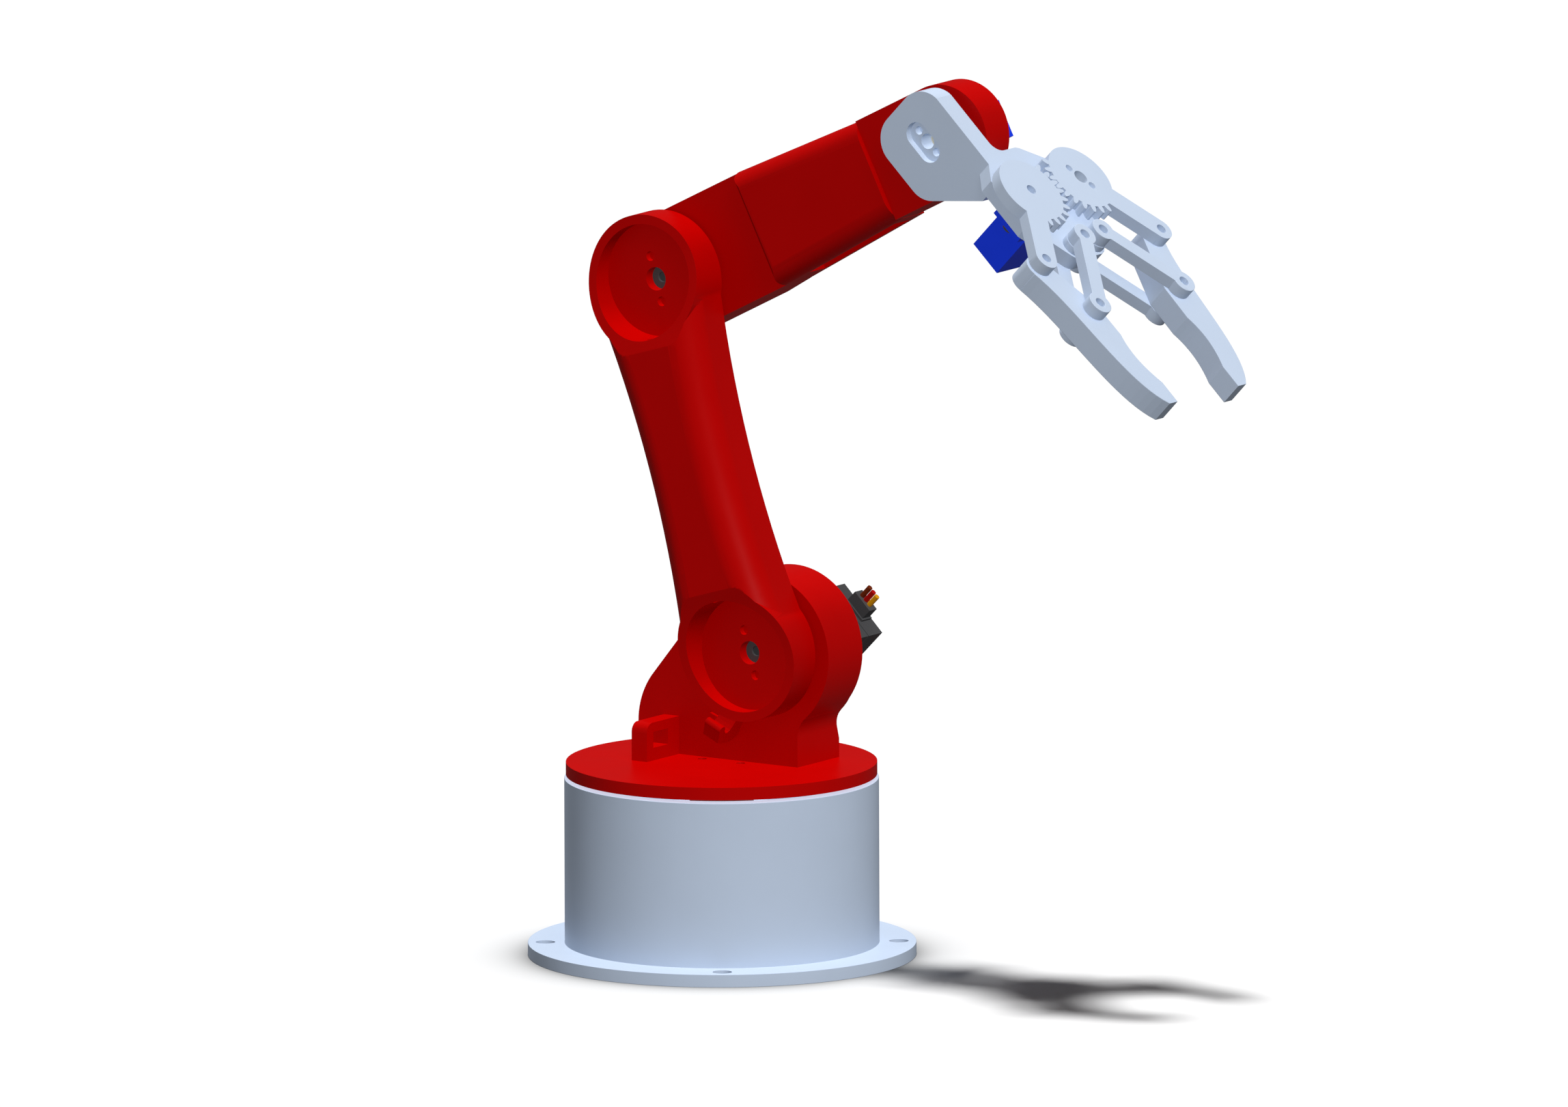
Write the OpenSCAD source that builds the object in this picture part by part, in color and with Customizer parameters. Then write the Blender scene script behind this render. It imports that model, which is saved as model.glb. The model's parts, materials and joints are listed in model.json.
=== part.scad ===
/* [Base] */
// Diameter of the mounting flange
flange_d = 121; // [112:1:140]
// Thickness of the mounting flange
flange_t = 4; // [3:0.5:8]
// Outside diameter of the base cylinder
base_d = 98; // [94:1:100]
// Height of the base cylinder's rim above the ground
base_h = 56; // [54:1:62]
// Wall of the base cylinder
base_wall = 5; // [3:0.5:6]
// Pitch circle diameter of the four mounting holes
bolt_pcd = 110; // [106:1:112]
// Diameter of the mounting holes
bolt_d = 6; // [4:0.5:6.5]
// Turn of the base under the arm, in degrees
base_turn = 34.5; // [0:0.5:90]

/* [Waist] */
// Gap between the base rim and the turntable
turn_gap = 1; // [0.5:0.5:2]
// Diameter of the turntable
turn_d = 97; // [90:1:98]
// Thickness of the turntable
turn_t = 4; // [4:0.5:6]
// Forward offset of the shoulder axis
shoulder_x = 13.2; // [10:0.2:16]
// Height of the shoulder axis
shoulder_z = 97; // [95:0.5:105]
// Front face of the bracket and of the forearm
bracket_front = 3.1; // [3:0.1:3.5]

/* [Upper arm] */
// Distance from the shoulder axis to the elbow axis
arm_len = 120; // [110:1:140]
// Lean of the upper arm behind the vertical, in degrees
arm_lean = 16.9; // [0:0.1:30]
// Diameter of the round ends
arm_end_d = 42; // [41:0.5:44]
// Width of the arm at its middle
arm_waist_w = 30.4; // [28:0.2:34]
// Diameter of the recess in each end
arm_recess_d = 36; // [30:0.5:37]

/* [Forearm] */
// Rise of the forearm above the horizontal, in degrees
fore_rise = 27; // [10:0.5:40]
// Half of the forearm's height at the elbow
fore_half = 19.1; // [18.5:0.1:20]
// Distance from the elbow axis to the roll joint
fore_len = 92.2; // [92:0.2:96]
// Distance from the elbow axis to the wrist pitch axis
wrist_len = 121.2; // [121:0.2:126]
// Radius of the wrist block's round end
wrist_r = 16.65; // [16:0.05:17]

/* [Gripper] */
// Dip of the gripper below the horizontal, in degrees
grip_dip = 43.8; // [20:0.1:60]
// Teeth on a full circle of each finger gear
gear_teeth = 24; // [24:1:24]
// Distance between the two gear axes
gear_span = 27.1; // [27:0.1:28]
// Length of the gear arms and of the parallel links
link_len = 30.8; // [29:0.2:32]
// Angle of the gear arms to the gripper's centre line, in degrees
arm_open = 35.7; // [35.7:0.1:36]
// Diameter of the pivot holes
pivot_d = 3.5; // [3:0.1:3.8]

/* [Hidden] */
$fn = 96;
slip = 0.05;

// Colours
red = [0.84, 0.03, 0.02];
pale_grey = [0.76, 0.82, 0.90];
servo_black = [0.16, 0.16, 0.17];
servo_blue = [0.09, 0.18, 0.70];
nylon = [0.90, 0.88, 0.80];
steel = [0.62, 0.63, 0.66];

// Levels of the waist
turn_z = base_h + turn_gap;
deck_z = turn_z + turn_t;
base_deck_z = 41.3;
base_deck_t = 4;

// Standard servo: case, mounting ears, output boss and shaft
servo_l = 40.5;
servo_w = 20;
servo_h = 38;
servo_lead = 10;
ear_top = 8.7;
ear_t = 2.5;
ear_reach = 7;
ear_hole_x = 4.5;
ear_hole_y = 5;
boss_r = 6.5;
boss_h = 1.6;
shaft_r = 2.95;
shaft_h = 5;
arm_shaft_h = 8;
ear_screw_r = 1.3;

// Micro servo
micro_l = 22.8;
micro_w = 12.2;
micro_h = 22.7;
micro_lead = 6;
micro_ear_top = 4.2;
micro_ear_reach = 4.95;
micro_boss_r = 5.9;
micro_boss_h = 4;
micro_shaft_r = 2.3;
micro_shaft_h = 3;

// Upper arm, measured across from front to back
arm_back = 2;
arm_rim = -9;
arm_front = -17;
arm_floor = -3.6;
arm_edge_r = 9.5;
arm_side_r = 365;
scoop_r = 110;
scoop_start = -20;
horn_hole_r = 3.7;
screw_hole_r = 1.5;
screw_hole_at = 7.25;
horn_r = 11;
horn_t = 2;

// Bracket on the turntable
bracket_left = -33.5;
bracket_right = 26.6;
bracket_disc_r = 25.2;
bracket_disc_z = 96;
bracket_back = 21.8;
bracket_foot = 26;
bracket_hip = [-9, 70];
bracket_hip_r = 24.5;
bracket_fillet_r = 8;
servo_top = 10.8;
pocket_gap = 0.25;

// Forearm
fore_back = 19.5;
thin_back = 13.6;
thin_from = 28.5;
thin_to = 43;
ear_pad = [26, 38.3];
ear_pad_half = 11.5;
taper_start = 42;
taper = atan2(fore_half - wrist_r, fore_len - taper_start);
cover_start = 41;
cover_front = -4.3;
cover_wall = 1.8;
cover_r = 6.8;
cover_start_r = 3;
roll_y = 3.4;

// Wrist block
wrist_front = -2.8;
wrist_back = 9.6;
pitch_top = 1.6;
joint_gap = 0.4;

// Gripper levels along its own up direction, from the wrist pitch axis
gear_top = 20.4;
gear_t = 4;
plate_top = 13.9;
plate_t = 5;
finger_top = gear_top - gear_t - 0.5;
finger_t = 8;
lower_top = finger_top - finger_t - 0.3;
grip_case_top = 7.4;
gear_at = 37;
side_front = -13.6;
side_back = -5.6;
side_half = 14;
side_corner = 9;
side_slope = 49.2;
side_slope_from = 12.27;
plate_half = 18.7;
plate_nose = 20;
plate_nose_y = 5.05;
plate_nose_r = 4.8;
plate_shoulder = 8.75;
plate_rear = -19.5;
plate_fillet_r = 4;
gear_module = gear_span / gear_teeth;
gear_pitch_r = gear_span / 2;
gear_tip_r = gear_pitch_r + gear_module * 0.97;
gear_root_r = gear_pitch_r - gear_module * 1.25;
gear_cut = 10;
gear_backlash = 0.16;
mesh_turn = 1.9;
gear_arm_w = 8;
link_head_r = 4.1;
link_w = 5.2;
pin_r = pivot_d / 2 - slip;
pin_sink = 2;
finger_pivot_r = 4.5;

function bez(p, n) = [for (i = [0:n]) let (t = i / n, s = 1 - t)
    s * s * s * p[0] + 3 * s * s * t * p[1] + 3 * s * t * t * p[2] + t * t * t * p[3]];
function polar(r, a) = [r * cos(a), r * sin(a)];

// ---------- frames ----------
module at_shoulder() translate([shoulder_x, 0, shoulder_z]) rotate([0, -arm_lean, 0]) children();
module at_elbow() at_shoulder() translate([0, 0, arm_len]) rotate([0, arm_lean, 0]) children();
module at_forearm() at_elbow() rotate([0, -fore_rise, 0]) children();
module at_wrist() at_forearm() translate([wrist_len, 0, 0]) children();
module at_gripper() at_wrist() rotate([0, fore_rise + grip_dip, 0]) children();
module at_gears() at_gripper() translate([gear_at, 0, gear_top]) children();

// A flat outline drawn in X and Z, filled from y0 back to y1
module slab(y0, y1) translate([0, y1, 0]) rotate([90, 0, 0]) linear_extrude(y1 - y0) children();
// A round bar along Y
module bar(x, z, r, y0, y1) translate([x, y1, z]) rotate([90, 0, 0]) cylinder(r = r, h = y1 - y0);
// A servo seat: output shaft points to -Y, the case's short end to the local +X
module facing_front(y) translate([0, y, 0]) rotate([90, 0, 0]) children();

// ---------- bought-in pieces ----------
// A block with shallow grooves where its lids meet
module grooved_block(x0, l, w, h, grooves) difference() {
    translate([x0, -w / 2, -h]) cube([l, w, h]);
    for (z = grooves) difference() {
        translate([x0 - 1, -w / 2 - 1, z - 0.2]) cube([l + 2, w + 2, 0.4]);
        translate([x0 + 0.2, -w / 2 + 0.2, z - 1]) cube([l - 0.4, w - 0.4, 2]);
    }
}
module servo_case() {
    grooved_block(servo_lead - servo_l, servo_l, servo_w, servo_h, [-7, -30.5]);
    cylinder(r = boss_r, h = boss_h);
}
module servo(color_name) {
    ear_x0 = servo_lead - servo_l - ear_hole_x;
    ear_x1 = servo_lead + ear_hole_x;
    color(color_name) difference() {
        union() {
            servo_case();
            translate([servo_lead - servo_l - ear_reach, -servo_w / 2, -ear_top - ear_t])
                cube([servo_l + 2 * ear_reach, servo_w, ear_t]);
        }
        translate([0, 0, -6]) cylinder(r = shaft_r + slip, h = 10);
        for (x = [ear_x0, ear_x1], s = [-1, 1]) translate([x, s * ear_hole_y, -20])
            cylinder(r = ear_screw_r + 0.6, h = 20);
    }
}
module servo_screws() {
    ear_x0 = servo_lead - servo_l - ear_hole_x;
    ear_x1 = servo_lead + ear_hole_x;
    for (x = [ear_x0, ear_x1], s = [-1, 1]) translate([x, s * ear_hole_y, -ear_top - ear_t])
        rotate([180, 0, 0]) pan_screw(ear_screw_r, 8, 2.6, 1.6);
}
module micro_servo() {
    color(servo_blue) difference() {
        union() {
            grooved_block(micro_lead - micro_l, micro_l, micro_w, micro_h, []);
            translate([micro_lead - micro_l - micro_ear_reach, -micro_w / 2, -micro_ear_top - ear_t])
                cube([micro_l + 2 * micro_ear_reach, micro_w, ear_t]);
            cylinder(r = micro_boss_r, h = micro_boss_h);
            translate([-micro_boss_r, 0, 0]) cylinder(r = 2.6, h = micro_boss_h);
        }
        translate([0, 0, -4]) cylinder(r = micro_shaft_r + slip, h = 10);
        for (x = [-1, 1]) translate([micro_ear_x(x), 0, -20]) cylinder(r = 1, h = 20);
    }
}
function micro_ear_x(s) = s > 0 ? micro_lead + 2.3 : micro_lead - micro_l - 2.3;
module micro_screws() for (s = [-1, 1]) translate([micro_ear_x(s), 0, -micro_ear_top - ear_t])
    rotate([180, 0, 0]) pan_screw(0.9, 6, 1.9, 1.2);
// A pan-head screw: head on +Z, shank down, cross recess in the head
module pan_screw(r, l, head_r, head_h) color(steel) difference() {
    union() {
        cylinder(r = head_r, h = head_h);
        translate([0, 0, -l]) cylinder(r = r, h = l);
    }
    for (a = [0, 90]) rotate([0, 0, a]) translate([-head_r * 0.6, -0.3, head_h - 0.7])
        cube([head_r * 1.2, 0.6, 1]);
}
// Round horn: disc from 0 to horn_t, hub below it, bored for the shaft
module round_horn(hub_h) difference() {
    union() {
        cylinder(r = horn_r, h = horn_t);
        translate([0, 0, -hub_h]) cylinder(r = 4.5, h = hub_h);
    }
    translate([0, 0, -hub_h - 1]) cylinder(r = shaft_r, h = hub_h + 1 + horn_t - 0.8);
    translate([0, 0, -1]) cylinder(r = 1.4, h = horn_t + 2);
    for (s = [-1, 1]) translate([0, s * screw_hole_at, -1]) cylinder(r = 1.2, h = horn_t + 2);
}
module output_shaft(r, h, depth) translate([0, 0, -depth]) cylinder(r = r, h = h + depth);

// ---------- base ----------
module base_frame() rotate([0, 0, base_turn]) children();
waist_servo_top = base_deck_z + ear_t + ear_top;
module at_waist_servo() base_frame() translate([0, 0, waist_servo_top]) rotate([0, 0, 90]) children();

module base_housing() color(pale_grey) difference() {
    union() {
        cylinder(d = flange_d, h = flange_t, $fn = 180);
        cylinder(d = base_d, h = base_h, $fn = 180);
    }
    difference() {
        translate([0, 0, -1]) cylinder(d = base_d - 2 * base_wall, h = base_h + 2, $fn = 180);
        translate([0, 0, base_deck_z - base_deck_t]) cylinder(d = base_d, h = base_deck_t);
    }
    base_frame() for (i = [0:3]) rotate([0, 0, 90 * i]) translate([bolt_pcd / 2, 0, -1])
        cylinder(d = bolt_d, h = flange_t + 2);
    at_waist_servo() servo_pocket(60, -20);
}
// Room for a servo case from its top down to a depth, with the four screw holes
module servo_pocket(top, depth) {
    translate([servo_lead - servo_l - pocket_gap, -servo_w / 2 - pocket_gap, depth])
        cube([servo_l + 2 * pocket_gap, servo_w + 2 * pocket_gap, top - depth]);
    for (x = [servo_lead - servo_l - ear_hole_x, servo_lead + ear_hole_x], s = [-1, 1])
        translate([x, s * ear_hole_y, depth]) cylinder(r = ear_screw_r, h = top - depth);
}
module waist_servo() at_waist_servo() servo(servo_black);
module waist_servo_screws() at_waist_servo() ear_screws_from_top();
module ear_screws_from_top() for (x = [servo_lead - servo_l - ear_hole_x, servo_lead + ear_hole_x],
    s = [-1, 1])
    translate([x, s * ear_hole_y, -ear_top]) pan_screw(ear_screw_r, 6, 2.6, 1.6);

// ---------- waist ----------
// Front outline of the bracket: disc, left hip, foot and the fillet on the right
module bracket_outline() {
    lean = atan2(bracket_disc_z - bracket_hip[1], shoulder_x - bracket_hip[0]) + 90;
    right_turn = -50;
    fillet_c = [bracket_right + bracket_fillet_r,
        bracket_disc_z + (bracket_disc_r + bracket_fillet_r) * sin(right_turn)];
    touch = [shoulder_x + bracket_disc_r * cos(right_turn),
        bracket_disc_z + bracket_disc_r * sin(right_turn)];
    translate([shoulder_x, bracket_disc_z]) circle(bracket_disc_r);
    intersection() {
        translate(bracket_hip) circle(bracket_hip_r);
        translate([bracket_left, deck_z]) square([60, 60]);
    }
    polygon([[shoulder_x, bracket_disc_z], bracket_hip, bracket_hip + polar(bracket_hip_r, lean),
        [shoulder_x, bracket_disc_z] + polar(bracket_disc_r, lean)]);
    translate([bracket_left, deck_z - 0.5])
        square([bracket_right - bracket_left, bracket_hip[1] - deck_z + 0.5]);
    difference() {
        polygon([bracket_hip, [bracket_right, bracket_hip[1]], [touch[0], fillet_c[1]], touch,
            [shoulder_x, bracket_disc_z]]);
        translate(fillet_c) circle(bracket_fillet_r);
    }
}
// Side outline of the bracket: foot deeper than the disc
module bracket_side() polygon([[bracket_front, deck_z - 0.5], [bracket_foot, deck_z - 0.5],
    [bracket_foot, deck_z + 6],
    [bracket_back, deck_z + 20], [bracket_back, 130], [bracket_front, 130]]);
module at_shoulder_servo() translate([shoulder_x, 0, shoulder_z]) rotate([0, -45, 0])
    facing_front(servo_top) children();

loop_x = [-23.9, -18.1];
loop_out = -14.6;
loop_h = 12;
loop_window = [-11.1, -3];
hook_at = [3.4, 67.8];
hook_tilt = 25;
hook_len = 6.2;
module cable_loop() difference() {
    translate([loop_x[0], loop_out, deck_z - 0.5])
        cube([loop_x[1] - loop_x[0], bracket_front - loop_out + 0.5, loop_h + 0.5]);
    translate([loop_x[0] - 1, loop_window[0], deck_z + 4]) cube([8, loop_window[1] - loop_window[0], 5]);
    translate([loop_x[0] - 1, loop_out, deck_z + loop_h - 3]) rotate([0, 90, 0]) difference() {
        translate([-4, -1, 0]) cube([4, 4, 8]);
        translate([0, 3, -1]) cylinder(r = 3, h = 10);
    }
}
// J-shaped cable hook: its outline is drawn outward from the bracket and upward
module hook_outline() {
    polygon(concat([[-0.5, 8.5], [-0.5, 2.4]], bez([[0, 2.4], [1, -0.8], [6, -0.9], [10, 0]], 8),
        [[11.8, 4.8], [10.6, 5.2]], bez([[9.4, 5.2], [7.6, 1.6], [5.4, 3.6], [4.3, 8.5]], 8)));
    translate([10.5, 4.8]) circle(1.35);
}
module cable_hook() translate([hook_at[0], bracket_front, hook_at[1]]) rotate([0, -90 + hook_tilt, 0])
    linear_extrude(hook_len) rotate(-90) hook_outline();
module waist_turret() color(red) difference() {
    union() {
        translate([0, 0, turn_z]) cylinder(d = turn_d, h = turn_t, $fn = 180);
        intersection() {
            slab(bracket_front, bracket_foot) bracket_outline();
            translate([-60, 0, 0]) rotate([90, 0, 90]) linear_extrude(120) bracket_side();
        }
        cable_loop();
        cable_hook();
    }
    translate([0, 0, turn_z - 1]) cylinder(r = horn_r + 0.05, h = horn_t + 1);
    for (s = [-1, 1]) translate([s * screw_hole_at, 0, turn_z]) cylinder(r = 1.4, h = 10);
    at_shoulder_servo() servo_pocket(0.2, -servo_h);
    at_shoulder_servo() translate([servo_lead - servo_l - ear_reach - pocket_gap,
        -servo_w / 2 - pocket_gap, -30])
        cube([servo_l + 2 * (ear_reach + pocket_gap), servo_w + 2 * pocket_gap, 30 - ear_top]);
    bar(shoulder_x, shoulder_z, boss_r + 0.6, 0, servo_top);
    translate([-3.6, bracket_front, 74.4]) rotate([0, 21, 0]) cube([6, 3, 0.6], center = true);
}
module waist_shaft() color(servo_black) translate([0, 0, waist_servo_top])
    output_shaft(shaft_r, shaft_h, 4);
module waist_horn() color(servo_black) translate([0, 0, turn_z]) rotate([0, 0, 90])
    round_horn(turn_z - waist_servo_top - boss_h - 0.4);
module waist_horn_screws() translate([0, 0, turn_z]) rotate([0, 0, 90]) horn_screws();
// Two screws that enter a horn from its hub side
module horn_screws() for (s = [-1, 1]) translate([0, s * screw_hole_at, 0]) rotate([180, 0, 0])
    pan_screw(1.2, 3.2, 1.9, 0.9);
module shoulder_servo() at_shoulder_servo() servo(servo_black);
module shoulder_servo_screws() at_shoulder_servo() servo_screws();
lead_z = -34.6;
lead_gap = 1.85;
wire_r = 0.85;
module shoulder_lead_block() color(servo_black) at_shoulder_servo() difference() {
    union() {
        translate([servo_lead, -3.9, lead_z - 2]) cube([4.6, 7.8, 4]);
        translate([servo_lead, -4.5, lead_z - 2.6]) cube([0.8, 9, 5.2]);
    }
    for (i = [-1:1]) translate([servo_lead + 2, i * lead_gap, lead_z]) rotate([0, 90, 0])
        cylinder(r = wire_r, h = 5);
}
module lead_wire(i, c) color(c) at_shoulder_servo() translate([servo_lead + 2, i * lead_gap, lead_z])
    rotate([0, 90, 0]) cylinder(r = wire_r, h = 6.8);
module shoulder_lead_brown() lead_wire(1, [0.45, 0.2, 0.05]);
module shoulder_lead_red() lead_wire(0, [0.8, 0.02, 0.02]);
module shoulder_lead_yellow() lead_wire(-1, [0.95, 0.65, 0.05]);

// ---------- upper arm ----------
// What is cut from the arm's two sides: a wide hollow curve, with the front edge rounded
module arm_side_cut() rotate([-90, 0, 0]) rotate_extrude($fn = 720) {
    translate([arm_side_r - 40, arm_front - 1]) square([40, arm_back - arm_front + 2]);
    difference() {
        translate([arm_side_r - 1, arm_front - 1]) square([arm_edge_r + 1, arm_edge_r + 1]);
        translate([arm_side_r + arm_edge_r, arm_front + arm_edge_r]) circle(arm_edge_r);
    }
}
module arm_end_cut(z, s) {
    translate([-30, arm_rim - scoop_r, z + s * scoop_start]) rotate([0, 90, 0])
        cylinder(r = scoop_r, h = 60, $fn = 360);
    bar(0, z, arm_recess_d / 2, arm_front - 5, arm_floor);
    bar(0, z, horn_hole_r, arm_floor - 1, arm_back + 1);
    bar(0, z, horn_r + 0.05, arm_back - horn_t, arm_back + 1);
    for (k = [-1, 1]) {
        bar(0, z + k * screw_hole_at, screw_hole_r, arm_floor - 1, -1.6);
        bar(0, z + k * screw_hole_at, 1.2, -1.3, arm_back + 1);
    }
}
module upper_arm() color(red) at_shoulder() difference() {
    union() {
        for (z = [0, arm_len]) bar(0, z, arm_end_d / 2, arm_front, arm_back);
        difference() {
            translate([-arm_end_d / 2, arm_front, 0]) cube([arm_end_d, arm_back - arm_front, arm_len]);
            for (s = [-1, 1]) translate([s * (arm_waist_w / 2 + arm_side_r), 0, arm_len / 2])
                arm_side_cut();
        }
    }
    arm_end_cut(0, 1);
    arm_end_cut(arm_len, -1);
    translate([0, arm_front + 6, 12]) cylinder(r = 3, h = arm_len - 24);
}
module horn_on_arm() facing_front(arm_back) round_horn(servo_top - boss_h - 0.4 - arm_back);
module shoulder_horn() color(servo_black) at_shoulder() horn_on_arm();
module elbow_horn() color(servo_black) at_shoulder() translate([0, 0, arm_len]) horn_on_arm();
module shoulder_horn_screws() at_shoulder() facing_front(arm_back) horn_screws();
module elbow_horn_screws() at_shoulder() translate([0, 0, arm_len]) facing_front(arm_back) horn_screws();
module shoulder_shaft() color(servo_black) at_shoulder() facing_front(servo_top)
    output_shaft(shaft_r, arm_shaft_h, 4);
module elbow_shaft() color(servo_black) at_elbow() facing_front(servo_top)
    output_shaft(shaft_r, arm_shaft_h, 4);

// ---------- forearm ----------
cover_posts = [[48.5, 11], [48.5, -12], [60, 11], [86, -10.5]];
post_r = 3.2;
cover_screw_r = 1.3;
bay_low = -13;
bay_top = 14.8;
bay_floor = 11.6;
bay_start = 43;
bay_open = [50.5, 87.5];
roll_l = 19;
roll_w = 8.8;
roll_lead = 5;
roll_top = 87.6;
roll_boss_r = 4.4;
module at_elbow_servo() at_forearm() rotate([0, 180, 0]) facing_front(servo_top) children();
// Roll servo seat: output shaft points along the forearm, long side upward
module at_roll_servo() at_forearm() translate([roll_top, roll_y, 0]) rotate([180, 0, 0])
    rotate([0, 90, 0])
    mirror([1, 0, 0]) children();
module forearm_body() color(red) difference() {
    at_forearm() union() {
        difference() {
            slab(bracket_front, fore_back) {
                circle(fore_half, $fn = 180);
                translate([0, -fore_half]) square([taper_start, 2 * fore_half]);
                tapered(taper_start, fore_len, 0);
            }
            translate([bay_start, bracket_front - 1, bay_low])
                cube([fore_len - 2.2 - bay_start, bay_floor - bracket_front + 1, bay_top - bay_low]);
            translate([bay_open[0], bracket_front - 1, -fore_half - 1])
                cube([bay_open[1] - bay_open[0], bay_floor - bracket_front + 1, fore_half + 2 + bay_low]);
            linear_extrude(3 * fore_half, center = true)
                polygon([[thin_from, fore_back], [thin_to, thin_back],
                [fore_len + 1, thin_back], [fore_len + 1, fore_back + 1], [thin_from, fore_back + 1]]);
        }
        translate([roll_top - micro_h + 1, roll_y + roll_w / 2, roll_lead - 6])
            cube([micro_h - 3, bay_floor - roll_y - roll_w / 2 + 0.5, roll_l - 6]);
        translate([ear_pad[0], bay_floor, -ear_pad_half])
            cube([ear_pad[1] - ear_pad[0], fore_back - bay_floor, 2 * ear_pad_half]);
        for (p = cover_posts) bar(p[0], p[1], post_r, bracket_front, bay_floor + 0.5);
    }
    at_elbow_servo() servo_pocket(0.2, -servo_h);
    at_forearm() {
        bar(0, 0, boss_r + 0.6, 0, servo_top);
        translate([fore_len - 4, roll_y, 0]) rotate([0, 90, 0]) cylinder(r = roll_boss_r + 0.3, h = 6);
        for (p = cover_posts) bar(p[0], p[1], cover_screw_r, bracket_front - 1, fore_back + 1);
    }
}
// Half height of the tapered part, drawn as a flat outline between two stations, set in by a distance
function half_at(u, i) = fore_half - i - (u - taper_start) * tan(taper);
module tapered(u0, u1, i) polygon([[u0, -half_at(u0, i)], [u1, -half_at(u1, i)], [u1, half_at(u1, i)],
    [u0, half_at(u0, i)]]);
// Cover block with its two long front corners and its start rounded, set in by a distance
module cover_block(i, y1) {
    r = cover_r - i;
    y0 = cover_front + i;
    start_r = cover_start_r - 0.5 * i;
    difference() {
        slab(y0, y1) tapered(cover_start + i, fore_len - i, i);
        for (s = [-1, 1]) translate([taper_start, y0, s * (fore_half - i)]) rotate([0, s * taper, 0])
            rotate([90, 0, 90]) translate([0, 0, -10]) linear_extrude(80) mirror([0, s > 0 ? 0 : 1])
            translate([r, -r]) corner_round(r);
        translate([cover_start + i, y0, 0]) linear_extrude(60, center = true) rotate(90)
            translate([start_r, -start_r]) corner_round(start_r);
    }
}
// Square piece outside a quarter circle, up and to the left of its centre
module corner_round(r) difference() {
    translate([-r - 1, 0]) square(r + 1);
    circle(r + 0.03);
}
module forearm_cover() color(red) difference() {
    at_forearm() union() {
        difference() {
            cover_block(0, bracket_front);
            cover_block(cover_wall, bracket_front + 1);
        }
        for (p = cover_posts) bar(p[0], p[1], post_r, cover_front + 1, bracket_front);
    }
    at_forearm() {
        translate([fore_len - 4, roll_y, 0]) rotate([0, 90, 0]) cylinder(r = roll_boss_r + 0.3, h = 6);
        for (p = cover_posts) bar(p[0], p[1], cover_screw_r, cover_front + 2, bracket_front + 1);
    }
}
module cover_screws() at_forearm() for (p = cover_posts) translate([p[0], thin_back, p[1]])
    rotate([-90, 0, 0])
    pan_screw(cover_screw_r, thin_back + 0.5, 2.6, 1.6);
module elbow_servo() at_elbow_servo() servo(servo_black);
module elbow_servo_screws() at_elbow_servo() servo_screws();
module roll_servo() color(servo_blue) at_roll_servo() difference() {
    union() {
        translate([roll_lead - roll_l, -roll_w / 2, -micro_h]) cube([roll_l, roll_w, micro_h]);
        cylinder(r = roll_boss_r, h = micro_boss_h);
    }
    translate([0, 0, -4]) cylinder(r = micro_shaft_r + slip, h = 10);
}

// ---------- wrist ----------
roll_horn_r = 8;
module at_pitch_servo() at_wrist() facing_front(pitch_top) children();
module along_roll(u) at_forearm() translate([u, roll_y, 0]) rotate([0, 90, 0]) children();
module wrist_block() color(red) difference() {
    at_forearm() slab(wrist_front, wrist_back) {
        translate([wrist_len, 0]) circle(wrist_r, $fn = 180);
        translate([fore_len + joint_gap, -wrist_r])
            square([wrist_len - fore_len - joint_gap, 2 * wrist_r]);
    }
    along_roll(fore_len) cylinder(r = roll_horn_r_fit(), h = joint_gap + horn_t);
    along_roll(fore_len) cylinder(r = 2.6, h = 5);
    at_pitch_servo() {
        translate([micro_lead - micro_l - pocket_gap, -micro_w / 2 - pocket_gap, -micro_h])
            cube([micro_l + 2 * pocket_gap, micro_w + 2 * pocket_gap, micro_h + 0.2]);
        translate([micro_lead - micro_l - micro_ear_reach - pocket_gap, -micro_w / 2 - pocket_gap,
            -micro_h])
            cube([micro_l + 2 * (micro_ear_reach + pocket_gap), micro_w + 2 * pocket_gap,
                micro_h - micro_ear_top]);
        for (s = [-1, 1]) translate([micro_ear_x(s), 0, -8]) cylinder(r = 0.9, h = 8);
        cylinder(r = micro_boss_r + 0.4, h = 10);
        translate([-micro_boss_r, 0, 0]) cylinder(r = 3, h = 10);
    }
}
function roll_horn_r_fit() = min(roll_horn_r, wrist_back - roll_y - 0.4);
module roll_shaft() color(nylon) along_roll(roll_top)
    output_shaft(micro_shaft_r, micro_boss_h + micro_shaft_h, 3);
module roll_horn() color(nylon) along_roll(fore_len + joint_gap) difference() {
    cylinder(r = roll_horn_r_fit(), h = horn_t);
    translate([0, 0, -1]) cylinder(r = micro_shaft_r, h = horn_t + 2);
}
module pitch_servo() at_pitch_servo() micro_servo();
module pitch_servo_screws() at_pitch_servo() micro_screws();

// ---------- gripper ----------
plate_hole_r = 2.42;
plate_screw_r = 1.32;
plate_screw_at = 4.5;
recess_depth = 2.5;
recess_half = 7.2;
recess_r = 3.9;
drive_c = [0, gear_pitch_r];
idler_c = [0, -gear_pitch_r];
horn_hole_turn = 27.7;
post_y = [[-7.95, -3.5], [19.8, 24.2]];
tab_half = 5.5;

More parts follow.
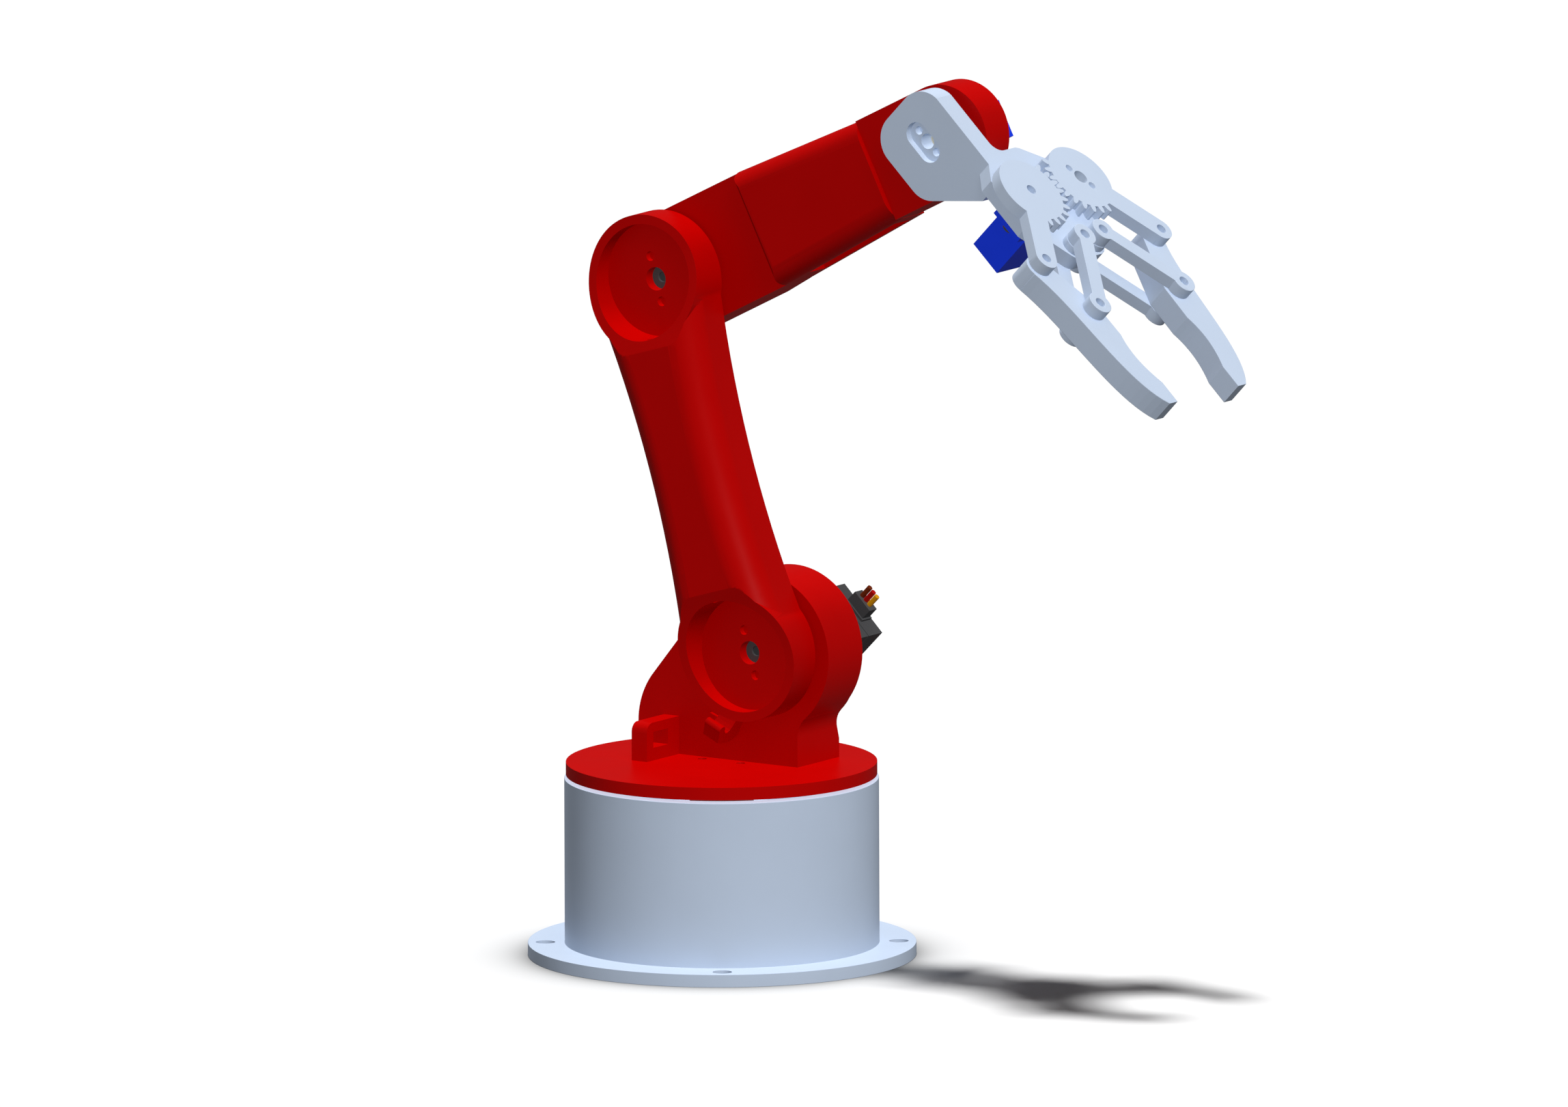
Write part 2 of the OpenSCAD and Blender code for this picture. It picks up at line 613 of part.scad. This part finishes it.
// Outline of the upright side plate: rounded at the wrist, sloped under the base plate
module side_outline() {
    r = side_corner;
    h = side_half;
    difference() {
        polygon([[-h, -h], [side_slope_from, -h], [27.5, (27.5 - side_slope_from) * tan(side_slope) - h],
            [27.5, plate_top - plate_t], [30, plate_top - plate_t], [30, plate_top], [-h, plate_top]]);
        translate([-h, -h]) corner_cut(r, 0);
        translate([-h, h]) corner_cut(r, -90);
        difference() {
            reach = r * tan(side_slope / 2);
            translate([side_slope_from - reach, -h - 1]) square([2 * reach, r + 1 - r * cos(side_slope)]);
            translate([side_slope_from - reach, r - h]) circle(r);
        }
    }
}
module corner_cut(r, turn) rotate(turn) difference() {
    translate([-1, -1]) square([r + 1, r + 1]);
    translate([r, r]) circle(r);
}
// Outline of the base plate in the gears' plane
module base_plate_outline() {
    nose = [plate_nose, plate_nose_y];
    slope = atan2(plate_half - 7.6, plate_shoulder - 24.5) - 90;
    edge = polar(plate_nose_r, slope);
    for (s = [-1, 1]) translate([nose[0], s * nose[1]]) circle(plate_nose_r);
    difference() {
        translate([plate_rear - plate_fillet_r, side_back - 1]) square(plate_fillet_r + 1);
        translate([plate_rear - plate_fillet_r, side_back + plate_fillet_r]) circle(plate_fillet_r);
    }
    polygon([[-16, side_front], [-10, -plate_half], [plate_shoulder, -plate_half],
        [nose[0] + edge[0], -nose[1] - edge[1]], [nose[0] + plate_nose_r, -nose[1]],
        [nose[0] + plate_nose_r, nose[1]], [nose[0] + edge[0], nose[1] + edge[1]],
        [plate_shoulder, plate_half], [tab_half, plate_half], [tab_half, post_y[1][1]],
        [-tab_half, post_y[1][1]], [-tab_half, plate_half], [-10.1, plate_half], [plate_rear + 0.6, 6.2],
        [plate_rear, 4.6], [plate_rear, side_back], [plate_rear - 1, side_back - 1],
            [plate_rear, side_front]]);
}
module gripper_base() color(pale_grey) difference() {
    union() {
        at_gripper() slab(side_front, side_back) side_outline();
        at_gripper() translate([gear_at, 0, plate_top - plate_t]) linear_extrude(plate_t)
            base_plate_outline();
        at_gripper() for (p = post_y) translate([gear_at - tab_half, p[0], grip_case_top - micro_ear_top])
            cube([2 * tab_half, p[1] - p[0], plate_top - plate_t - grip_case_top + micro_ear_top + 0.5]);
    }
    at_gripper() {
        bar(0, 0, plate_hole_r, side_front - 1, side_back + 1);
        for (s = [-1, 1]) {
            bar(s * plate_screw_at, 0, plate_screw_r, side_front - 1, side_front + recess_depth + 2.5);
            bar(s * plate_screw_at, 0, 0.9, side_back - 1.5, side_back + 1);
        }
        slab(side_front - 1, side_front + recess_depth) {
            translate([-recess_half + recess_r, -recess_r])
                square([2 * (recess_half - recess_r), 2 * recess_r]);
            for (s = [-1, 1]) translate([s * (recess_half - recess_r), 0]) circle(recess_r);
        }
    }
    at_gears() {
        translate([drive_c[0], drive_c[1], -20]) cylinder(r = micro_boss_r + 0.4, h = 20);
        translate([drive_c[0], drive_c[1] - micro_boss_r, -20]) cylinder(r = 3, h = 20);
        translate([idler_c[0], idler_c[1], -14]) cylinder(r = pin_r, h = 14);
        for (s = [-1, 1]) translate([plate_nose, s * plate_nose_y, -20]) cylinder(r = pin_r, h = 20);
    }
    at_grip_servo() for (s = [-1, 1]) translate([micro_ear_x(s), 0, -6]) cylinder(r = 0.9, h = 6);
}
module at_grip_servo() at_gripper() translate([gear_at, drive_c[1], grip_case_top]) rotate([0, 0, 90])
    children();
// Horn with two arms, for a micro servo
module arm_horn(hub_h, t) difference() {
    union() {
        translate([-6.5, -2.2, 0]) cube([13, 4.4, t]);
        for (s = [-1, 1]) translate([s * 6.5, 0, 0]) cylinder(r = 2.2, h = t);
        translate([0, 0, -hub_h]) cylinder(r = 2.9, h = hub_h + t);
    }
    translate([0, 0, -hub_h - 1]) cylinder(r = micro_shaft_r, h = hub_h + t + 2);
    for (s = [-1, 1]) translate([s * plate_screw_at, 0, -1]) cylinder(r = 0.9, h = t + 2);
}
module arm_horn_screws() for (s = [-1, 1]) translate([s * plate_screw_at, 0, 0]) rotate([180, 0, 0])
    pan_screw(0.9, arm_screw_l, 1.5, 0.6);
arm_horn_t = 1.9;
arm_screw_l = 3.2;
module pitch_shaft() color(nylon) at_wrist() facing_front(pitch_top)
    output_shaft(micro_shaft_r, micro_boss_h + micro_shaft_h, 3);
module pitch_horn() color(nylon) at_gripper() facing_front(side_back + arm_horn_t)
    arm_horn(1, arm_horn_t);
module pitch_horn_screws() at_gripper() facing_front(side_back + arm_horn_t) arm_horn_screws();
module grip_servo() at_grip_servo() micro_servo();
module grip_servo_screws() at_grip_servo() micro_screws();
module grip_shaft() color(nylon) at_grip_servo()
    output_shaft(micro_shaft_r, micro_boss_h + micro_shaft_h, 3);
module at_drive() at_gears() translate([drive_c[0], drive_c[1], 0]) children();
module at_idler() at_gears() translate([idler_c[0], idler_c[1], 0]) children();
module grip_horn() color(nylon) at_drive() translate([0, 0, -gear_t - arm_horn_t])
    rotate([0, 0, horn_hole_turn])
    arm_horn(1.8, arm_horn_t);
module grip_horn_screws() at_drive() translate([0, 0, -gear_t - arm_horn_t])
    rotate([0, 0, horn_hole_turn])
    arm_horn_screws();
module idler_pin() color(pale_grey) at_idler() translate([0, 0, plate_top - plate_t - gear_top])
    cylinder(r = pin_r, h = gear_top - plate_top + plate_t - pin_sink);
module spacer(h) difference() {
    cylinder(r = link_head_r, h = h);
    translate([0, 0, -1]) cylinder(r = pin_r, h = h + 2);
}
gap_under_gear = gear_top - gear_t - plate_top;
module idler_spacer() color(pale_grey) at_idler() translate([0, 0, plate_top - gear_top])
    spacer(gap_under_gear - 0.1);
module link_spacers() color(pale_grey) at_gears() for (s = [-1, 1])
    translate([plate_nose, s * plate_nose_y, plate_top - gear_top]) spacer(gap_under_gear - 0.1);
module link_pins() color(pale_grey) at_gears() for (s = [-1, 1])
    translate([plate_nose, s * plate_nose_y, lower_top - gear_t + 0.5 - gear_top])
        cylinder(r = pin_r, h = gear_top - lower_top + gear_t - 0.5 - pin_sink);

// Involute finger gear: half angle of a tooth at a radius
pressure = 20;
base_r = gear_pitch_r * cos(pressure);
function involute(a) = tan(a) * 180 / PI - a;
function tooth_half(r) = 90 / gear_teeth - gear_backlash / gear_pitch_r * 90 / PI
    + involute(pressure) - involute(acos(min(1, base_r / r)));
module tooth() {
    steps = 5;
    radii = [gear_root_r - 0.4, for (i = [0:steps]) base_r + (gear_tip_r - base_r) * i / steps];
    polygon(concat([for (r = radii) polar(r, -tooth_half(max(r, base_r)))],
        [for (i = [len(radii) - 1:-1:0]) polar(radii[i], tooth_half(max(radii[i], base_r)))]));
}
pitch_angle = 360 / gear_teeth;
// Gear sector and arm; first is the angle of its first tooth, side is +1 or -1
module finger_gear(first, side) {
    arm_dir = side * arm_open;
    circle(gear_root_r);
    for (i = [0:gear_cut - 1]) rotate(first + i * pitch_angle) tooth();
    rotate(arm_dir) translate([0, -gear_arm_w / 2]) square([link_len, gear_arm_w]);
    translate(polar(link_len, arm_dir)) circle(gear_arm_w / 2);
}
module drive_gear() color(pale_grey) at_drive() translate([0, 0, -gear_t]) difference() {
    linear_extrude(gear_t) finger_gear(-90 - mesh_turn + (0.5 - 3) * pitch_angle, 1);
    translate([0, 0, -1]) {
        cylinder(r = plate_hole_r, h = gear_t + 2);
        for (s = [-1, 1]) translate(polar(s * plate_screw_at, horn_hole_turn)) {
            cylinder(r = 0.9, h = 1 + arm_screw_l - arm_horn_t);
            translate([0, 0, gear_t - 1]) cylinder(r = plate_screw_r, h = 3);
        }
        translate(polar(link_len, arm_open)) cylinder(r = pin_r, h = gear_t + 2);
    }
}
module idler_gear() color(pale_grey) at_idler() translate([0, 0, -gear_t]) difference() {
    linear_extrude(gear_t) finger_gear(90 + mesh_turn - 7 * pitch_angle, -1);
    translate([0, 0, -1]) {
        cylinder(d = pivot_d, h = gear_t + 2);
        translate(polar(link_len, -arm_open)) cylinder(r = pin_r, h = gear_t + 2);
    }
}
module finger_end_pin(side) color(pale_grey) translate(polar(link_len, side * arm_open))
    translate([0, 0, finger_top - finger_t - gear_top])
        cylinder(r = pin_r, h = gear_top - finger_top + finger_t - pin_sink);
module drive_finger_pin() at_drive() finger_end_pin(1);
module idler_finger_pin() at_idler() finger_end_pin(-1);

// Parallel link: two round heads and a narrower bar
module link_shape() {
    for (x = [0, link_len]) translate([x, 0]) circle(link_head_r);
    translate([0, -link_w / 2]) square([link_len, link_w]);
}
module link(side, top) color(pale_grey) at_gears()
    translate([plate_nose, side * plate_nose_y, top - gear_t])
    rotate([0, 0, side * arm_open]) difference() {
        linear_extrude(gear_t) link_shape();
        translate([0, 0, -1]) cylinder(d = pivot_d, h = gear_t + 2);
        translate([link_len, 0, -1]) cylinder(r = pin_r, h = gear_t + 2);
    }
module link_pin(side) color(pale_grey) at_gears() translate([plate_nose, side * plate_nose_y, 0])
    translate(polar(link_len, side * arm_open)) translate([0, 0, lower_top - gear_t + 0.5 - gear_top])
        cylinder(r = pin_r, h = gear_top - lower_top + gear_t - 0.5 - pin_sink);
module right_upper_link() link(1, 0);
module left_upper_link() link(-1, 0);
module right_lower_link() link(1, lower_top - gear_top);
module left_lower_link() link(-1, lower_top - gear_top);
module right_link_pin() link_pin(1);
module left_link_pin() link_pin(-1);

// Finger outline, drawn from its rear pivot: straight back, bowed grip and flat pad
rear = drive_c + polar(link_len, arm_open);
front = [plate_nose, plate_nose_y] + polar(link_len, arm_open);
pad_y = 16.7;
pad_x = 75.6;
tip_x = 83.5;
tip_y = 21;
knee = [43.4, 18.6];
module finger_outline() {
    wall = atan2(knee[1] - rear[1], knee[0] - rear[0]);
    inner = bez([[pad_x, pad_y], [71, 18.6], [64, 21.2], [55.5, 18.3]], 14);
    outer = bez([[27, rear[1] + finger_pivot_r * 0.93], [44, 28.6], [72, 33], [tip_x, tip_y]], 20);
    translate(rear) circle(finger_pivot_r);
    polygon(concat([rear + polar(finger_pivot_r, wall - 90), knee], [for (i = [14:-1:0]) inner[i]],
        [[tip_x, pad_y]], [for (i = [20:-1:0]) outer[i]], [rear]));
}
module finger(side) color(pale_grey) at_gears() mirror([0, side > 0 ? 0 : 1, 0])
    translate([0, 0, finger_top - finger_t - gear_top]) difference() {
        linear_extrude(finger_t) finger_outline();
        for (p = [rear, front]) translate([p[0], p[1], -1]) cylinder(d = pivot_d, h = finger_t + 2);
    }
module right_finger() finger(1);
module left_finger() finger(-1);

base_housing();
waist_servo();
waist_servo_screws();
waist_turret();
waist_shaft();
waist_horn();
waist_horn_screws();
shoulder_servo();
shoulder_servo_screws();
shoulder_lead_block();
shoulder_lead_brown();
shoulder_lead_red();
shoulder_lead_yellow();
upper_arm();
shoulder_shaft();
shoulder_horn();
shoulder_horn_screws();
elbow_shaft();
elbow_horn();
elbow_horn_screws();
forearm_body();
forearm_cover();
cover_screws();
elbow_servo();
elbow_servo_screws();
roll_servo();
wrist_block();
roll_shaft();
roll_horn();
pitch_servo();
pitch_servo_screws();
gripper_base();
pitch_shaft();
pitch_horn();
pitch_horn_screws();
grip_servo();
grip_servo_screws();
idler_pin();
idler_spacer();
link_pins();
link_spacers();
drive_gear();
grip_shaft();
grip_horn();
grip_horn_screws();
drive_finger_pin();
idler_gear();
idler_finger_pin();
right_upper_link();
right_lower_link();
right_link_pin();
left_upper_link();
left_lower_link();
left_link_pin();
right_finger();
left_finger();
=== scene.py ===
"""Looks of the desktop robot arm: materials, softened edges, floor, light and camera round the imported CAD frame."""
import json
import math

import bpy
from mathutils import Matrix, Vector


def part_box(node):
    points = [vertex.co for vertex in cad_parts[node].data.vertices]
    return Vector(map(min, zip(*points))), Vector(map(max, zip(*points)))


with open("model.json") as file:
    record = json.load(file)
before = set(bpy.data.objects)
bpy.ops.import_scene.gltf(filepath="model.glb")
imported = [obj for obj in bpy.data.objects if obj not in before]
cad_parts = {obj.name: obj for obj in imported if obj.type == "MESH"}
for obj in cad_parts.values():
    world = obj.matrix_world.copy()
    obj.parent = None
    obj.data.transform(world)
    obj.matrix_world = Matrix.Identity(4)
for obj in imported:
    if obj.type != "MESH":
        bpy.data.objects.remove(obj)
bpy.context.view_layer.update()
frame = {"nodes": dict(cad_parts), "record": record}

NODES = frame["nodes"]
MM = 0.001

# ---------------------------------------------------------------- materials

# The lamps are this much stronger than a fully lit white needs, and the paints that much darker,
# so that light bounced between neighbouring parts stays faint.
LIGHT = 1.8

# Moulded and printed plastic
PLASTIC_IOR = 1.46
COAT_ROUGHNESS = 0.18
BLOTCH_SCALE, BLOTCH_DETAIL, BLOTCH_ROUGHNESS = 55.0, 4.0, 0.55
BLOTCH_LOW, BLOTCH_HIGH = 0.3, 0.7
GRAIN_SCALE, GRAIN_DETAIL, GRAIN_DEPTH = 2600.0, 3.0, 0.2 * MM
GLOSS_LOW, GLOSS_HIGH = -0.05, 0.06

# Plated steel
MARK_SCALE, MARK_DETAIL = 900.0, 5.0
MARK_LOW, MARK_HIGH, MARK_DARK = 0.25, 0.8, 0.75
STEEL_GLOSS_LOW, STEEL_GLOSS_HIGH = -0.08, 0.1


def srgb(r, g, b):
    """Linear colour from sRGB values on a scale of 0 to 255."""
    def one(v):
        v /= 255.0
        return v / 12.92 if v <= 0.04045 else ((v + 0.055) / 1.055) ** 2.4
    return (one(r), one(g), one(b), 1.0)


def paint(r, g, b):
    """Surface colour that shows as the given sRGB values on a face in full light. They may pass 255."""
    return tuple(c / LIGHT for c in srgb(r, g, b)[:3]) + (1.0,)


def scaled(colour, share):
    """A colour made lighter or darker, and never lighter than white."""
    return tuple(min(1.0, c * share) for c in colour[:3]) + (1.0,)


def link(tree, a, a_out, b, b_in):
    tree.links.new(a.outputs[a_out], b.inputs[b_in])


def principled(name):
    mat = bpy.data.materials.new(name)
    mat.use_nodes = True
    return mat, mat.node_tree, mat.node_tree.nodes["Principled BSDF"]


def two_tones(tree, source, low_at, low_colour, high_at, high_colour, shader):
    """Base colour that runs from one tone to another with a texture."""
    ramp = tree.nodes.new("ShaderNodeValToRGB")
    low, high = ramp.color_ramp.elements
    low.position, high.position = low_at, high_at
    low.color, high.color = low_colour, high_colour
    link(tree, source, "Fac", ramp, "Fac")
    link(tree, ramp, "Color", shader, "Base Color")


def uneven_gloss(tree, source, least, most, shader):
    """Roughness that varies with a texture."""
    gloss = tree.nodes.new("ShaderNodeMapRange")
    gloss.inputs["To Min"].default_value = least
    gloss.inputs["To Max"].default_value = most
    link(tree, source, "Fac", gloss, "Value")
    link(tree, gloss, "Result", shader, "Roughness")


def plastic(name, colour, rough, spread, specular, grain=0.04, coat=0.0, grain_scale=GRAIN_SCALE):
    """Printed or moulded plastic: faint blotches of tone, fine surface grain and uneven gloss."""
    mat, tree, shader = principled(name)
    shader.inputs["IOR"].default_value = PLASTIC_IOR
    shader.inputs["Coat Weight"].default_value = coat
    shader.inputs["Coat Roughness"].default_value = COAT_ROUGHNESS
    shader.inputs["Specular IOR Level"].default_value = specular
    where = tree.nodes.new("ShaderNodeTexCoord")

    blotch = tree.nodes.new("ShaderNodeTexNoise")
    blotch.inputs["Scale"].default_value = BLOTCH_SCALE
    blotch.inputs["Detail"].default_value = BLOTCH_DETAIL
    blotch.inputs["Roughness"].default_value = BLOTCH_ROUGHNESS
    link(tree, where, "Object", blotch, "Vector")
    two_tones(tree, blotch, BLOTCH_LOW, scaled(colour, 1 - spread), BLOTCH_HIGH, scaled(colour, 1 + spread), shader)
    uneven_gloss(tree, blotch, rough + GLOSS_LOW, rough + GLOSS_HIGH, shader)

    fine = tree.nodes.new("ShaderNodeTexNoise")
    fine.inputs["Scale"].default_value = grain_scale
    fine.inputs["Detail"].default_value = GRAIN_DETAIL
    link(tree, where, "Object", fine, "Vector")
    bump = tree.nodes.new("ShaderNodeBump")
    bump.inputs["Strength"].default_value = grain
    bump.inputs["Distance"].default_value = GRAIN_DEPTH
    link(tree, fine, "Fac", bump, "Height")
    link(tree, bump, "Normal", shader, "Normal")
    return mat


def metal(name, colour, rough):
    """Plated screw steel with fine turning marks."""
    mat, tree, shader = principled(name)
    shader.inputs["Metallic"].default_value = 1.0
    where = tree.nodes.new("ShaderNodeTexCoord")
    marks = tree.nodes.new("ShaderNodeTexNoise")
    marks.inputs["Scale"].default_value = MARK_SCALE
    marks.inputs["Detail"].default_value = MARK_DETAIL
    link(tree, where, "Object", marks, "Vector")
    two_tones(tree, marks, MARK_LOW, scaled(colour, MARK_DARK), MARK_HIGH, colour, shader)
    uneven_gloss(tree, marks, rough + STEEL_GLOSS_LOW, rough + STEEL_GLOSS_HIGH, shader)
    return mat


def lead(name, colour):
    """Insulation of one servo lead."""
    return plastic(name, colour, rough=0.4, spread=0.06, specular=0.2)


LOOKS = {
    "red_print": plastic("red_print", paint(213, 1, 0), rough=0.36, spread=0.02, specular=0.06, grain=0.02),
    "grey_print": plastic("grey_print", paint(221, 237, 260), rough=0.45, spread=0.012, specular=0.06, grain=0.02),
    "servo_black": plastic("servo_black", paint(84, 84, 86), rough=0.45, spread=0.08, specular=0.2, grain=0.06,
                           grain_scale=3500.0),
    "servo_blue": plastic("servo_blue", paint(30, 72, 268), rough=0.3, spread=0.04, specular=0.15, coat=0.05),
    "nylon": plastic("nylon", paint(232, 226, 206), rough=0.4, spread=0.03, specular=0.25),
    "screw_steel": metal("screw_steel", srgb(190, 192, 196), rough=0.35),
    "lead_brown": lead("lead_brown", paint(128, 48, 10)),
    "lead_red": lead("lead_red", paint(200, 8, 4)),
    "lead_yellow": lead("lead_yellow", paint(246, 172, 8)),
}

SLOT = {row["node"]: row["material_slot"] for row in frame["record"]["subparts"]}

# ---------------------------------------------------------------- CAD nodes

# Width of the softened edge by material; screws and leads stay sharp
EDGE = {
    "red_print": 0.15 * MM,
    "grey_print": 0.15 * MM,
    "servo_black": 0.25 * MM,
    "servo_blue": 0.25 * MM,
}
EDGE_SEGMENTS = 2
EDGE_ANGLE = math.radians(35)
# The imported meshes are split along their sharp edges, and a bevel needs them joined
WELD_DISTANCE = 0.001 * MM


def soften(obj, width):
    """A narrow rounded break on every sharp edge, shaded with weighted normals."""
    weld = obj.modifiers.new("weld", "WELD")
    weld.merge_threshold = WELD_DISTANCE
    bevel = obj.modifiers.new("edge", "BEVEL")
    bevel.width = width
    bevel.segments = EDGE_SEGMENTS
    bevel.limit_method = "ANGLE"
    bevel.angle_limit = EDGE_ANGLE
    bevel.use_clamp_overlap = True
    bevel.harden_normals = False
    normals = obj.modifiers.new("normals", "WEIGHTED_NORMAL")
    normals.keep_sharp = True


for node, obj in NODES.items():
    look = LOOKS[SLOT[node]]
    for place in obj.material_slots:
        place.link = "OBJECT"
        place.material = look
    if SLOT[node] in EDGE:
        soften(obj, EDGE[SLOT[node]])

# ---------------------------------------------------------------- floor

FLOOR_SIZE = 30.0
FLOOR_TONE, FLOOR_ROUGHNESS = 0.8, 0.9
# Painted contact shadow in the floor's colour: how dark it is at the flange's edge, and the distance over which it
# fades
SHADE_DEPTH, SHADE_REACH = 0.6, 7.0 * MM
FLANGE_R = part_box("base_housing")[1][0]


def flat_square(name, size):
    mesh = bpy.data.meshes.new(name)
    h = size / 2
    mesh.from_pydata([(-h, -h, 0.0), (h, -h, 0.0), (h, h, 0.0), (-h, h, 0.0)], [], [(0, 1, 2, 3)])
    obj = bpy.data.objects.new(name, mesh)
    bpy.context.scene.collection.objects.link(obj)
    return obj


def floor_paper_painted_shade():
    """Matt white paper whose colour is darkened softly close to the round base: a painted contact shadow."""
    mat, tree, shader = principled("floor_paper_painted_shade")
    shader.inputs["Roughness"].default_value = FLOOR_ROUGHNESS
    shader.inputs["Specular IOR Level"].default_value = 0.0
    where = tree.nodes.new("ShaderNodeNewGeometry")
    away = tree.nodes.new("ShaderNodeVectorMath")
    away.operation = "LENGTH"
    link(tree, where, "Position", away, 0)

    def maths(operation, source, value):
        node = tree.nodes.new("ShaderNodeMath")
        node.operation = operation
        link(tree, source, "Value", node, 0)
        node.inputs[1].default_value = value
        return node

    # Painted shade: the floor's colour is darkest at the flange's edge and lightens with distance on either side of
    # it
    beyond = maths("SUBTRACT", away, FLANGE_R)
    distance = maths("ABSOLUTE", beyond, 0.0)
    steps = maths("DIVIDE", distance, -SHADE_REACH)
    fade = maths("EXPONENT", steps, 0.0)
    shade = maths("MULTIPLY", fade, -SHADE_DEPTH * FLOOR_TONE)
    tone = maths("ADD", shade, FLOOR_TONE)
    link(tree, tone, "Value", shader, "Base Color")
    return mat


floor = flat_square("floor", FLOOR_SIZE)
floor.data.materials.append(floor_paper_painted_shade())

# The floor sends no light back to the arm
floor.visible_diffuse = False
floor.visible_glossy = False

# ---------------------------------------------------------------- light

DIM, BACKDROP = 0.06, 1.0
WHITE = (1.0, 1.0, 1.0, 1.0)

# Where a lamp stands: azimuth and elevation in degrees. Azimuth 0 is on -Y and 90 on +X.
KEY_FROM, RIM_FROM, ABOVE, BELOW = (54.0, 42.5), (-126.0, 55.0), (0.0, 90.0), (0.0, -90.0)
# How wide a lamp looks from the arm, in degrees
NARROW, WIDE, WIDER, DOME = 5.5, 14.0, 20.0, 178.0
# Share of full light that each lamp gives to a face turned toward it. Only key_soft and drop cast shadows.
KEY, KEY_SOFT, RIM, FILL_TOP, FILL_LOW, DROP = 0.52, 0.045, 0.55, 0.14, 0.10, 1.225


def studio_world():
    """A dim even room behind a white backdrop that only the camera sees."""
    world = bpy.data.worlds.new("studio")
    world.use_nodes = True
    tree = world.node_tree
    room = tree.nodes["Background"]
    room.inputs["Color"].default_value = WHITE
    room.inputs["Strength"].default_value = DIM
    white = tree.nodes.new("ShaderNodeBackground")
    white.inputs["Color"].default_value = WHITE
    white.inputs["Strength"].default_value = BACKDROP
    rays = tree.nodes.new("ShaderNodeLightPath")
    mix = tree.nodes.new("ShaderNodeMixShader")
    link(tree, rays, "Is Camera Ray", mix, 0)
    link(tree, room, 0, mix, 1)
    link(tree, white, 0, mix, 2)
    link(tree, mix, 0, tree.nodes["World Output"], "Surface")
    bpy.context.scene.world = world


def toward(azimuth, elevation):
    """Unit vector from the arm toward a place at this azimuth and elevation in degrees."""
    a, e = math.radians(azimuth), math.radians(elevation)
    return Vector((math.sin(a) * math.cos(e), -math.cos(a) * math.cos(e), math.sin(e)))


def sun(name, place, strength, spread, lit, shadows=False, glossy=False):
    """A far light that reaches only the objects in one collection."""
    data = bpy.data.lights.new(name, "SUN")
    data.energy = math.pi * strength
    data.angle = math.radians(spread)
    data.use_shadow = shadows
    lamp = bpy.data.objects.new(name, data)
    lamp.rotation_mode = "QUATERNION"
    lamp.rotation_quaternion = toward(*place).to_track_quat("Z", "Y")
    bpy.context.scene.collection.objects.link(lamp)
    lamp.light_linking.receiver_collection = lit
    lamp.visible_glossy = glossy


def group(name, objects):
    made = bpy.data.collections.new(name)
    for obj in objects:
        made.objects.link(obj)
    return made


studio_world()
arm_pieces = group("arm_pieces", NODES.values())
ground = group("ground", [floor])
sun("key", KEY_FROM, KEY * LIGHT, WIDE, arm_pieces, glossy=True)
sun("key_soft", KEY_FROM, KEY_SOFT * LIGHT, WIDER, arm_pieces, shadows=True, glossy=True)
sun("rim", RIM_FROM, RIM * LIGHT, WIDE, arm_pieces)
sun("fill_top", ABOVE, FILL_TOP * LIGHT, DOME, arm_pieces)
sun("fill_low", BELOW, FILL_LOW * LIGHT, DOME, arm_pieces)
sun("drop", ABOVE, DROP, NARROW, ground, shadows=True, glossy=True)

# ---------------------------------------------------------------- camera

AZIMUTH, ELEVATION, ROLL = 34.5, 10.0, 0.2
VIEW_WIDTH = 488.1 * MM
CENTRE_RIGHT, CENTRE_UP = 19.67 * MM, 124.55 * MM
CAMERA_AWAY = 2.0
CLIP_START, CLIP_END = 0.01, 50.0


def photo_camera():
    """A camera with parallel rays, turned and tilted as in the reference view."""
    a = math.radians(AZIMUTH)
    back = toward(AZIMUTH, ELEVATION)
    right = Vector((math.cos(a), math.sin(a), 0.0))
    up = back.cross(right)
    data = bpy.data.cameras.new("camera")
    data.type = "ORTHO"
    data.ortho_scale = VIEW_WIDTH
    data.clip_start, data.clip_end = CLIP_START, CLIP_END
    cam = bpy.data.objects.new("camera", data)
    basis = Matrix((right, up, back)).transposed() @ Matrix.Rotation(-math.radians(ROLL), 3, "Z")
    centre = right * CENTRE_RIGHT + up * CENTRE_UP
    cam.matrix_world = Matrix.Translation(centre + back * CAMERA_AWAY) @ basis.to_4x4()
    bpy.context.scene.collection.objects.link(cam)
    bpy.context.scene.camera = cam


photo_camera()

settings = bpy.context.scene.view_settings
settings.view_transform = "Standard"
settings.look = "None"
